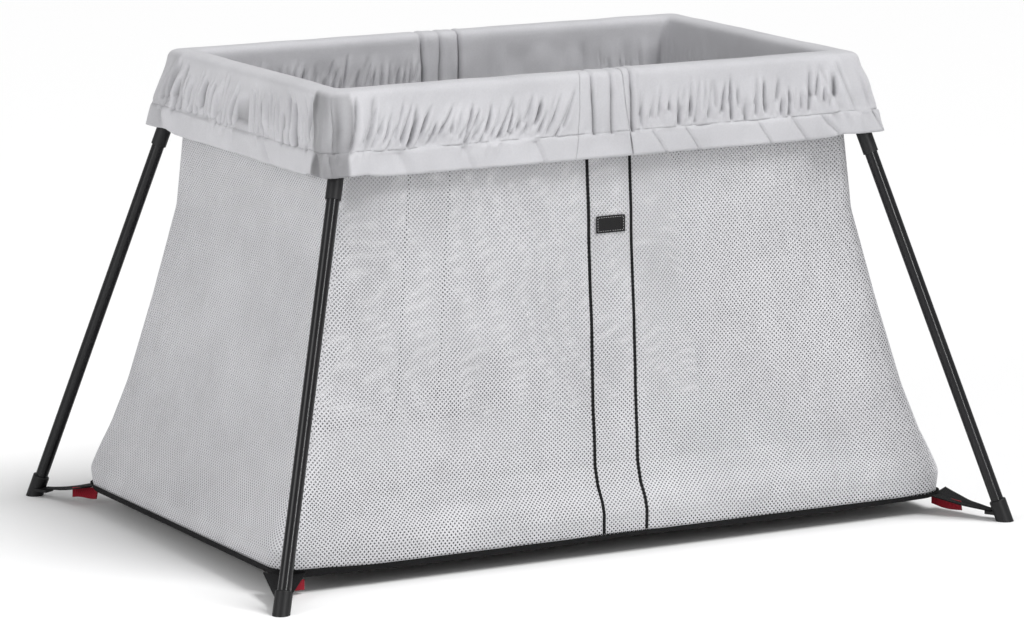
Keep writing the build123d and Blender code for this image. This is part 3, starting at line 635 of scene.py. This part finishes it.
cover_left = cover_piece(
    "rim_cover_left_cloth", [(CREASE_X + GAP, BACK - CREASE_X - GAP)], "left_frame", "rim_cover_left")
cover_right = cover_piece(
    "rim_cover_right_cloth", [(BACK + CREASE_X + GAP, TOTAL - CREASE_X - GAP)], "right_frame",
    "rim_cover_right")
cover_centre = cover_piece(
    "rim_cover_centre_cloth",
    [(-CREASE_X + GAP, CREASE_X - GAP), (BACK - CREASE_X + GAP, BACK + CREASE_X - GAP)],
    "centre", "rim_cover_centre")

# ------------------------------------------------------------------ net bag

# (height, half length, half width, corner radius) of the bag
BAG = np.array([
    (0.604, 0.378, 0.233, 0.020), (0.572, 0.381, 0.237, 0.021), (0.525, 0.389, 0.246, 0.022),
    (0.424, 0.397, 0.255, 0.024), (0.300, 0.428, 0.273, 0.028), (0.180, 0.460, 0.294, 0.032),
    (0.118, 0.481, 0.308, 0.034), (0.085, 0.498, 0.313, 0.036), (0.057, 0.512, 0.316, 0.040),
    (0.024, 0.508, 0.313, 0.038),
])[::-1]
BAG_Z = np.linspace(0.024, 0.604, 581)
BAG_SMOOTH = []
for column in (1, 2, 3):
    values = np.interp(BAG_Z, BAG[:, 0], BAG[:, column])
    kernel = np.hanning(23)
    padded_values = np.pad(values, 11, mode="reflect", reflect_type="odd")
    BAG_SMOOTH.append(np.convolve(padded_values, kernel / kernel.sum(), mode="valid"))
# How far the long sides are drawn in at mid-length, over the mattress's edge
PULL_Z = [0.030, 0.057, 0.072, 0.090, 0.118, 0.180, 0.306, 0.400, 0.600]
PULL = [0.0, 0.002, 0.006, 0.016, 0.022, 0.016, 0.008, 0.008, 0.0]


def bag_level(z):
    return [np.interp(z, BAG_Z, values) for values in BAG_SMOOTH]


def wall_point(side, s, z):
    """A point of the bag. s runs along its front, back, left or right side from the middle, in +X or +Y."""
    s, z = np.broadcast_arrays(np.asarray(s, float), np.asarray(z, float))
    half_x, half_y, r = bag_level(z)
    long_side = side in ("front", "back")
    reach, depth = (half_x, half_y) if long_side else (half_y, half_x)
    flat = reach - r
    over = np.maximum(np.abs(s) - flat, 0)
    angle = over / r
    along = np.where(over > 0, np.sign(s) * (flat + r * np.sin(angle)), s)
    out = depth - np.where(over > 0, r * (1 - np.cos(angle)), 0)
    share = 1 - np.clip(np.abs(s) / (flat + 0.02), 0, 1) ** 3
    pull = np.interp(z, PULL_Z, PULL) * (1.0 if long_side else 0.0)
    mid_height = step(0.10, 0.20, z) * (1 - step(0.42, 0.52, z))
    ripple = 0.0016 * noise(s / 0.11 + 5 * len(side), z / 0.16, 11) * mid_height
    out = out - pull * share + ripple * share
    if side == "front":
        along = along + FRONT_LEAN * step(0.03, 0.46, z) * np.exp(-(s / 0.15) ** 2)
    lobes = np.abs(np.sin(math.pi * np.clip(along / 0.5, -1, 1)))
    z = z - 0.005 * (1 - step(0.03, 0.075, z)) * lobes * long_side
    if long_side:
        y = out if side == "back" else -out
        return np.stack([along, y, z], axis=-1)
    x = out if side == "right" else -out
    return np.stack([x, along, z], axis=-1)


def seam_reach(side, z):
    """How far a wall runs from its middle to the corner's seam."""
    half_x, half_y, r = bag_level(z)
    return ((half_x if side in ("front", "back") else half_y) - r) + r * math.pi / 4


NET_PITCH = 0.0060
NET_HOLE = 0.300 * NET_PITCH  # from a hole's middle to its corners, in the outer layer and in the inner one
INNER_HOLE = 0.176 * NET_PITCH
NET_DEPTH = 0.0007
NET_REACH = 0.56  # more than half of the longest wall
LEAST_FACE = 2e-8
NET_LOW, NET_HIGH = 0.0285, 0.572
profile_z = np.linspace(NET_LOW, NET_HIGH, 600)
profile = wall_point("front", 0.0 * profile_z, profile_z)
profile_length = np.concatenate([[0], np.cumsum(np.linalg.norm(np.diff(profile, axis=0), axis=1))])


def net_wall(side, low, high):
    """Netting over part of a wall, as threads round rows of staggered holes.

    low and high are where the wall's part ends, as distances or as functions of height. Gives the points,
    the faces and which points are in the inner layer."""
    length = profile_length[-1]
    rows = int(length / (NET_PITCH / 2))
    columns = int(2 * NET_REACH / NET_PITCH)
    jj, ii = np.meshgrid(np.arange(rows + 1), np.arange(columns + 1), indexing="ij")
    s0 = (ii - columns / 2 + 0.5 * (jj % 2)) * NET_PITCH
    v0 = jj * NET_PITCH / 2 + NET_PITCH / 4
    # The cloth's rows are never quite even.
    seed = {"front": 0.0, "back": 31.0, "left": 57.0, "right": 83.0}[side]
    wander_s = 0.0018 * noise(s0 / 0.055 + seed, v0 / 0.075, 1)
    wander_s += 0.0007 * noise(s0 / 0.018, v0 / 0.024 + seed, 2)
    wander_v = 0.0016 * noise(s0 / 0.070, v0 / 0.055 + seed, 3)
    wander_v += 0.0006 * noise(s0 / 0.020 + seed, v0 / 0.022, 5)
    s0, v0 = s0 + wander_s, v0 + wander_v
    # Each hole is a small funnel: four corners in the outer layer, four closer together in the inner one.
    h, g = NET_HOLE, INNER_HOLE
    corner_s = np.stack([s0 + h, s0, s0 - h, s0, s0 + g, s0, s0 - g, s0], axis=-1).reshape(-1)
    corner_v = np.stack([v0, v0 + h, v0, v0 - h, v0, v0 + g, v0, v0 - g], axis=-1).reshape(-1)
    # The inner layer's points are marked for painted shade: each funnel darkens towards its hole, as the
    # threads' sides in shadow do.
    inner = np.tile([0, 0, 0, 0, 1, 1, 1, 1], jj.size)
    index = (np.arange(jj.size) * 8).reshape(jj.shape)
    right, top, left, bottom = index, index + 1, index + 2, index + 3
    faces = []
    for parity in (0, 1):
        # A hole's upper right neighbour is in the next row up, in column i + parity, and its upper left one
        # is in the column before that.
        own = np.arange(parity, rows, 2)
        up = own + 1
        c = np.arange(0, columns + 1 - parity)
        a, b = np.ix_(own, c), np.ix_(up, c + parity)
        faces.append(np.stack([right[a], bottom[b], left[b], top[a]], axis=-1).reshape(-1, 4))
        c = np.arange(1 - parity, columns + 1)
        a, b = np.ix_(own, c), np.ix_(up, c - 1 + parity)
        faces.append(np.stack([top[a], right[b], bottom[b], left[a]], axis=-1).reshape(-1, 4))
        # The junction between a hole, the next in its row, and the two between them above and below
        own = np.arange(parity if parity else 2, rows, 2)
        c = np.arange(0, columns)
        a, nxt = np.ix_(own, c), np.ix_(own, c + 1)
        over, under = np.ix_(own + 1, c + parity), np.ix_(own - 1, c + parity)
        faces.append(np.stack([right[a], top[under], left[nxt], bottom[over]], axis=-1).reshape(-1, 4))
    for k in range(4):
        m = (k + 1) % 4
        faces.append(np.stack([index + k, index + m, index + 4 + m, index + 4 + k], axis=-1).reshape(-1, 4))
    faces = np.concatenate(faces)
    z = np.interp(np.clip(corner_v, 0, length), profile_length, profile_z)
    first = low(z) if callable(low) else np.full(z.shape, low)
    last = high(z) if callable(high) else np.full(z.shape, high)
    outside = (corner_s < first - 1e-9) | (corner_s > last + 1e-9)
    faces = faces[~outside[faces].all(axis=1)]
    s = np.clip(corner_s, first, last)
    points = wall_point(side, s, z) - np.array(outwards_of(side), float) * (NET_DEPTH * inner)[:, None]
    area = np.linalg.norm(np.cross(points[faces[:, 2]] - points[faces[:, 0]],
                                   points[faces[:, 3]] - points[faces[:, 1]]), axis=1)
    faces = faces[area > LEAST_FACE]
    used, compact = np.unique(faces, return_inverse=True)
    faces = compact.reshape(faces.shape)
    flip = side in ("back", "left")
    return points[used], (faces[:, ::-1] if flip else faces), inner[used]


def net_piece(name, parts, body, replaced):
    """One sheet of netting, over one or two parts of the bag's walls."""
    walls = [net_wall(side, low, high) for side, low, high in parts]
    # Painted shade on the funnels' inner layer
    shade = np.concatenate([inner for _, _, inner in walls])
    obj = mesh_piece(name, *joined([wall[:2] for wall in walls]), net_material, shade=shade)
    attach(obj, body)
    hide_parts(replaced)
    return obj


BAND = 0.0325  # half the centre band's width
CORNER_S, CORNER_E = 0.33, 0.18  # where the corner pieces begin on the long sides and on the ends
nets = []
for side, sign in (("left", -1), ("right", 1)):
    body = side + "_frame"
    for end in ("front", "back"):
        low, high = (-CORNER_S, -BAND) if sign < 0 else (BAND, CORNER_S)
        nets.append(net_piece("net_" + end + "_" + side, [(end, low, high)], body, "net_sides_" + side))
        if sign < 0:
            long_part = (end, lambda z, e=end: -seam_reach(e, z), -CORNER_S)
        else:
            long_part = (end, CORNER_S, lambda z, e=end: seam_reach(e, z))
        if end == "front":
            short_part = (side, lambda z, e=side: -seam_reach(e, z), -CORNER_E)
        else:
            short_part = (side, CORNER_E, lambda z, e=side: seam_reach(e, z))
        nets.append(net_piece("net_corner_" + end + "_" + side, [long_part, short_part], body,
                              "net_end_" + side))
    nets.append(net_piece("net_end_" + side + "_wall", [(side, -CORNER_E, CORNER_E)], body,
                          "net_end_" + side))

for end in ("front", "back"):
    nets.append(net_piece("net_centre_" + end, [(end, -BAND, BAND)], "centre", "net_centre"))


# ------------------------------------------------------------------ binding tapes and label

TAPE_HALF, TAPE_LIFT = 0.00225, 0.0013
tape_pieces = []
for end in ("front", "back"):
    tape_parts = []
    for sx in (-1, 1):
        z = np.linspace(0.0315, 0.562, 260)[:, None]
        u = np.linspace(-1, 1, 9)[None, :]
        sway = 0.0006 * noise(z / 0.05, 0 * z + sx + 7, 3)
        scallop = 1 + 0.10 * np.sin(z * 2 * math.pi / 0.0042)
        s = sx * BAND + sway + u * TAPE_HALF * scallop
        base = wall_point(end, s, np.broadcast_to(z, s.shape))
        out = np.array(outwards_of(end), float)
        top = base + out * (0.0002 + TAPE_LIFT * np.sqrt(np.maximum(1 - u ** 2, 0)))[..., None]
        under = base - out * 0.0004
        tape_parts.append(layered(top, under, flip=(end == "back")))
    tapes = mesh_piece("binding_tapes_" + end + "_cloth", *joined(tape_parts), webbing_material)
    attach(tapes, "centre")
    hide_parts("binding_tapes")
    tape_pieces.append(tapes)


LABEL_Z, LABEL_HALF_W, LABEL_HALF_H = 0.434, 0.022, 0.0115
STITCH_HALF_W, STITCH_HALF_H, STITCH_HALF = 0.0195, 0.0090, 0.00028


def on_label(s, z, u, v, lift):
    """Points over the label, which curls a little towards its edges, at u = -1 and 1 and at v = -1 and 1."""
    curl = 0.0007 * u ** 4 + 0.0004 * v ** 4
    return wall_point("front", s, z) - np.array([0, 1.0, 0]) * (lift + curl)[..., None]


def label_grid(lift, rows=14, columns=24):
    u = np.linspace(-1, 1, columns)[None, :]
    v = np.linspace(-1, 1, rows)[:, None]
    s = u * LABEL_HALF_W * (1 - 0.02 * v ** 8)
    z = LABEL_Z + v * LABEL_HALF_H * (1 - 0.03 * u ** 8)
    return on_label(*np.broadcast_arrays(s, z, u, v), lift)


label = mesh_piece("woven_label_cloth", *layered(label_grid(0.0012), label_grid(0.0004)), label_material)
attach(label, "centre")
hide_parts("woven_label")
# A light stitched line round the label's edge: every other stretch of a ring is a stitch.
STITCH_BOX = np.array([[0, 1, 5, 4], [1, 2, 6, 5], [2, 3, 7, 6], [3, 0, 4, 7], [4, 5, 6, 7], [3, 2, 1, 0]])
STITCH_NOMINAL = (STITCH_HALF_W, STITCH_HALF_H, 0.0005)
ring_s = np.linspace(0, 1, 64, endpoint=False) * 0.112
ring = np.stack(rectangle_point(ring_s, *STITCH_NOMINAL, STITCH_NOMINAL)[:2], axis=-1)
stitch_parts = []
for start, end in zip(ring[::2], ring[1::2]):
    along = end - start
    aside = np.array([-along[1], along[0]]) / np.linalg.norm(along) * STITCH_HALF
    corners = np.array([start - aside, end - aside, end + aside, start + aside])
    s, z = corners[:, 0], LABEL_Z + corners[:, 1]
    u, v = s / LABEL_HALF_W, corners[:, 1] / LABEL_HALF_H
    box = [on_label(s, z, u, v, lift) for lift in (0.0010, 0.00145)]
    stitch_parts.append((np.concatenate(box), STITCH_BOX))
stitches = mesh_piece("label_stitches", *joined(stitch_parts), thread_material, smooth=False)
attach(stitches, "centre")

# ------------------------------------------------------------------ base cloth

EDGE_X, EDGE_Y, EDGE_R = 0.5120, 0.3170, 0.038


def base_surface(low_x, high_x, columns, rows=150):
    """The base cloth between two x values: flat, with a low lip that sags in two lobes on each long side."""
    x = np.linspace(low_x, high_x, columns)
    if low_x < -0.4:
        x = low_x + (high_x - low_x) * (1 - np.cos(np.linspace(0, math.pi / 2, columns)))
    if high_x > 0.4:
        x = high_x - (high_x - low_x) * (1 - np.cos(np.linspace(math.pi / 2, 0, columns)))
    over = np.maximum(np.abs(x) - (EDGE_X - EDGE_R), 0)
    limit = EDGE_Y - EDGE_R + np.sqrt(np.maximum(EDGE_R ** 2 - over ** 2, 0))
    v = np.sin(np.linspace(-math.pi / 2, math.pi / 2, rows)) * 0.985 + np.linspace(-1, 1, rows) * 0.015
    x, v = np.meshgrid(x, v)
    y = v * limit[None, :]
    qx, qy = np.abs(x) - (EDGE_X - EDGE_R), np.abs(y) - (EDGE_Y - EDGE_R)
    from_edge = EDGE_R - np.where((qx > 0) & (qy > 0), np.hypot(np.maximum(qx, 0), np.maximum(qy, 0)),
                                  np.maximum(qx, qy))
    lobes = np.abs(np.sin(math.pi * np.clip(x / 0.5, -1, 1)))
    lip = 0.0085 * (0.40 + 0.45 * lobes + 0.60 * step(0.36, 0.49, -x))
    z = 0.0280 - 0.0045 * np.exp(-((from_edge - 0.010) / 0.012) ** 2)
    z = z + lip * np.exp(-(from_edge / 0.0045) ** 2)
    z = z - 0.0035 * lobes * np.exp(-(from_edge / 0.06) ** 2)
    z = z + 0.0006 * noise(x / 0.06, y / 0.06, 5) * step(0.0, 0.03, from_edge)
    return np.stack([x, y, z], axis=-1)


bases = []
for name, low_x, high_x, columns, body, replaced, under in (
        ("base_left_cloth", -EDGE_X, -CREASE_X - GAP, 150, "left_frame", "base_cloth_left", "mattress_left"),
        ("base_centre_cloth", -CREASE_X + GAP, CREASE_X - GAP, 20, "centre", "base_cloth_centre",
         "mattress_middle"),
        ("base_right_cloth", CREASE_X + GAP, EDGE_X, 150, "right_frame", "base_cloth_right",
         "mattress_right")):
    top = base_surface(low_x, high_x, columns)
    obj = mesh_piece(name, *layered(top, top - np.array([0, 0, 0.0018])), base_material)
    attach(obj, body)
    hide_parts(replaced)
    bases.append(obj)

# ------------------------------------------------------------------ mattress


PAD_LOW, PAD_HIGH, PAD_HALF_Y, PAD_RADIUS, PAD_ROUND = 0.0328, 0.0716, 0.2975, 0.030, 0.0105
PAD_COLUMNS = 220


def pad_rim_ring(t):
    """How far the pad's side stands out at t, from -1 at its lower edge to 1 at its upper one."""
    rounding = PAD_ROUND * ((1 - abs(t) ** 2.4) ** (1 / 2.4) - 1)
    seam = -0.0016 * math.exp(-(t / 0.10) ** 2)
    piping = 0.0010 * math.exp(-((abs(t) - 0.86) / 0.08) ** 2)
    return rounding + seam + piping


def pad(name, low_x, high_x, body, replaced, seed):
    """One foam panel in its cover: crowned, with round edges, a seam round it and slack by its folds."""
    centre_x, half_x, half_y = (low_x + high_x) / 2, (high_x - low_x) / 2, PAD_HALF_Y
    middle, thick = (PAD_LOW + PAD_HIGH) / 2, (PAD_HIGH - PAD_LOW) / 2
    nominal = (half_x, half_y, PAD_RADIUS)
    total = 4 * (half_x - PAD_RADIUS) + 4 * (half_y - PAD_RADIUS) + 2 * math.pi * PAD_RADIUS
    s = np.linspace(0, total, PAD_COLUMNS, endpoint=False)
    outline_x, outline_y, _, _ = rectangle_point(s, half_x, half_y, PAD_RADIUS, nominal)
    # Rings as (share of the outline, whether it is on the side, which way up), from the top to underneath
    inner = np.concatenate([np.linspace(0.03, 0.80, 30), 1 - np.geomspace(0.18, 0.006, 12)])
    rings = [(k, False, 1.0) for k in inner]
    rings += [(1.0, True, t) for t in np.linspace(1.0, -1.0, 19)[1:-1]]
    rings += [(k, False, -1.0) for k in inner[::-1]]
    grid = []
    for k, on_side, t in rings:
        grow = pad_rim_ring(t) if on_side else -PAD_ROUND
        x = outline_x * ((half_x + grow) / half_x) * k
        y = outline_y * ((half_y + grow) / half_y) * k
        if on_side:
            z = middle + thick * t * (1 - 0.04 * abs(t)) + 0 * x
        else:
            crown = (1 - np.abs(x / half_x) ** 7) * (1 - np.abs(y / half_y) ** 9)
            z = middle + t * thick * (0.90 + (0.10 if t > 0 else 0.02) * crown)
        if not on_side and t > 0:
            near_fold = np.exp(-((np.abs(x) - half_x) / 0.035) ** 2) * step(0, 0.04, half_y - np.abs(y))
            z = z + 0.0007 * noise((x + seed) / 0.10, y / 0.12, 2) * crown
            z = z - 0.0011 * near_fold * np.abs(noise((y + seed) / 0.022, x / 0.05, 4))
        grid.append(np.stack([x + centre_x, y, z], axis=-1))
    rows = len(grid)
    faces = [tuple(f) for f in grid_faces(rows, PAD_COLUMNS, 0, True, True)]
    faces.append(tuple(range(PAD_COLUMNS)))
    faces.append(tuple((rows - 1) * PAD_COLUMNS + k for k in range(PAD_COLUMNS))[::-1])
    obj = mesh_piece(name, np.stack(grid), faces, mattress_material)
    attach(obj, body)
    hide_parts(replaced)
    return obj


pad("mattress_left_pad", -0.4975, -0.2512, "mattress_left", "mattress_left", 1.0)
pad("mattress_middle_pad", -0.2488, 0.2488, "centre", "mattress_middle", 2.0)
pad("mattress_right_pad", 0.2512, 0.4975, "mattress_right", "mattress_right", 3.0)

# ------------------------------------------------------------------ corner straps and pull tabs

FOOT = (0.549, 0.398)
BAG_CORNER = (0.498, 0.303)
STRAP_START = 0.0185  # from the foot's middle to the lug that holds the strap
STRAP_THICKNESS, TAB_THICKNESS = 0.0013, 0.0016
straps = []
tabs = {"left": [], "right": []}
for side, sx in (("left", -1), ("right", 1)):
    for end, sy in (("front", -1), ("back", 1)):
        corner = end + "_" + side
        foot = np.array([sx * FOOT[0], sy * FOOT[1]])
        bag = np.array([sx * BAG_CORNER[0], sy * BAG_CORNER[1]])
        run = bag - foot
        length = float(np.linalg.norm(run))
        run = run / length
        side_way = np.array([-run[1], run[0]])
        u = np.linspace(0, 1, 46)[:, None]
        v = np.linspace(-1, 1, 21)[None, :]
        half_width = 0.0072 + 0.0205 * u ** 1.25
        line = foot + run * (STRAP_START + (length - STRAP_START) * u)[..., None]
        flat = line + side_way * (half_width * v)[..., None]
        height = 0.0132 + 0.0145 * u ** 1.1 - 0.0022 * np.sin(math.pi * u)
        waves = noise(u * 4 + sx, v * 2 + 3 * sy, 7) * u * (1 - u) * 2
        fold = 0.0034 * u * np.abs(v) - 0.0012 * u + 0.0012 * waves
        top = np.concatenate([flat, (height + fold)[..., None]], axis=-1)
        obj = mesh_piece("corner_strap_" + corner + "_cloth",
                         *layered(top, top - np.array([0, 0, STRAP_THICKNESS]), flip=True), webbing_material)
        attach(obj, "leg_" + corner)
        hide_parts("corner_strap_" + corner)
        straps.append((obj, foot, run))
        # The red tab is a strip that hangs edge-down under the strap. The front left one turns aside.
        u = np.linspace(0, 1, 40)[:, None]
        v = np.linspace(0, 1, 9)[None, :]
        start, way = bag + run * 0.006, run * -0.046
        if (side, end) == ("left", "front"):
            start, way = np.array([-0.503, -0.307]), np.array([0.029, -0.005])
            side_way = np.array([-way[1], way[0]]) / np.linalg.norm(way)
        line = start + way * u[..., None]
        lean = side_way * (0.0030 * np.sin(2.2 * u + sx) * v - 0.0030 * v)[..., None]
        flat = line + lean
        drop_to = 0.0245 - 0.0052 * u - v * (0.0145 + 0.0012 * np.sin(5 * u + sy))
        face = np.concatenate([flat, drop_to[..., None]], axis=-1)
        behind = face + np.array([*side_way * TAB_THICKNESS, 0.0])
        tabs[side].append(layered(face, behind, flip=(sx * sy > 0)))

tab_pieces = []
for side in ("left", "right"):
    obj = mesh_piece("pull_tabs_" + side + "_cloth", *joined(tabs[side]), red_material)
    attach(obj, side + "_frame")
    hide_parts("pull_tabs_" + side)
    tab_pieces.append(obj)

for obj, side in ((cover_left, "left"), (cover_right, "right")):
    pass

# ------------------------------------------------------------------ soft pieces get their own meshes

# Levels of the nets and base, which lie flat between the rails and the legs when the halves fold up beside
# each other.
NET_LEVEL, BASE_LEVEL, MIDDLE_BASE_LEVEL = 0.6080, 0.6045, 0.5160


def gathers_up(obj):
    """Gives a soft piece its own copy of its mesh."""
    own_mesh(obj)


def draws_up_short(obj):
    """For the middle's hanging pieces: gives each its own copy of its mesh."""
    gathers_up(obj)


for obj in nets:
    if "centre" in obj.name:
        draws_up_short(obj)
    else:
        gathers_up(obj)
for obj, sy in ((tape_pieces[0], -1), (tape_pieces[1], 1), (label, -1), (stitches, -1)):
    draws_up_short(obj)
for obj, level in zip(bases, (BASE_LEVEL, MIDDLE_BASE_LEVEL, BASE_LEVEL)):
    gathers_up(obj)
for obj in tab_pieces:
    gathers_up(obj)
for obj in (cover_left, cover_right):
    gathers_up(obj)
for obj, foot, run in straps:
    gathers_up(obj)

# ------------------------------------------------------------------ floor and bounds

floor_material, floor_tree, floor_shader = new_material("floor")
floor_shader.inputs["Base Color"].default_value = (0.93, 0.93, 0.93, 1)
floor_shader.inputs["Roughness"].default_value = 0.6
floor_shader.inputs["Specular IOR Level"].default_value = 0.2
FLOOR_HALF = 40.0
floor_corners = [(x, y, 0.0) for y in (-FLOOR_HALF, FLOOR_HALF) for x in (-FLOOR_HALF, FLOOR_HALF)]
floor = mesh_piece("floor", floor_corners, np.array([[0, 1, 3, 2]]), floor_material)
floor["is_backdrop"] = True

low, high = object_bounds()
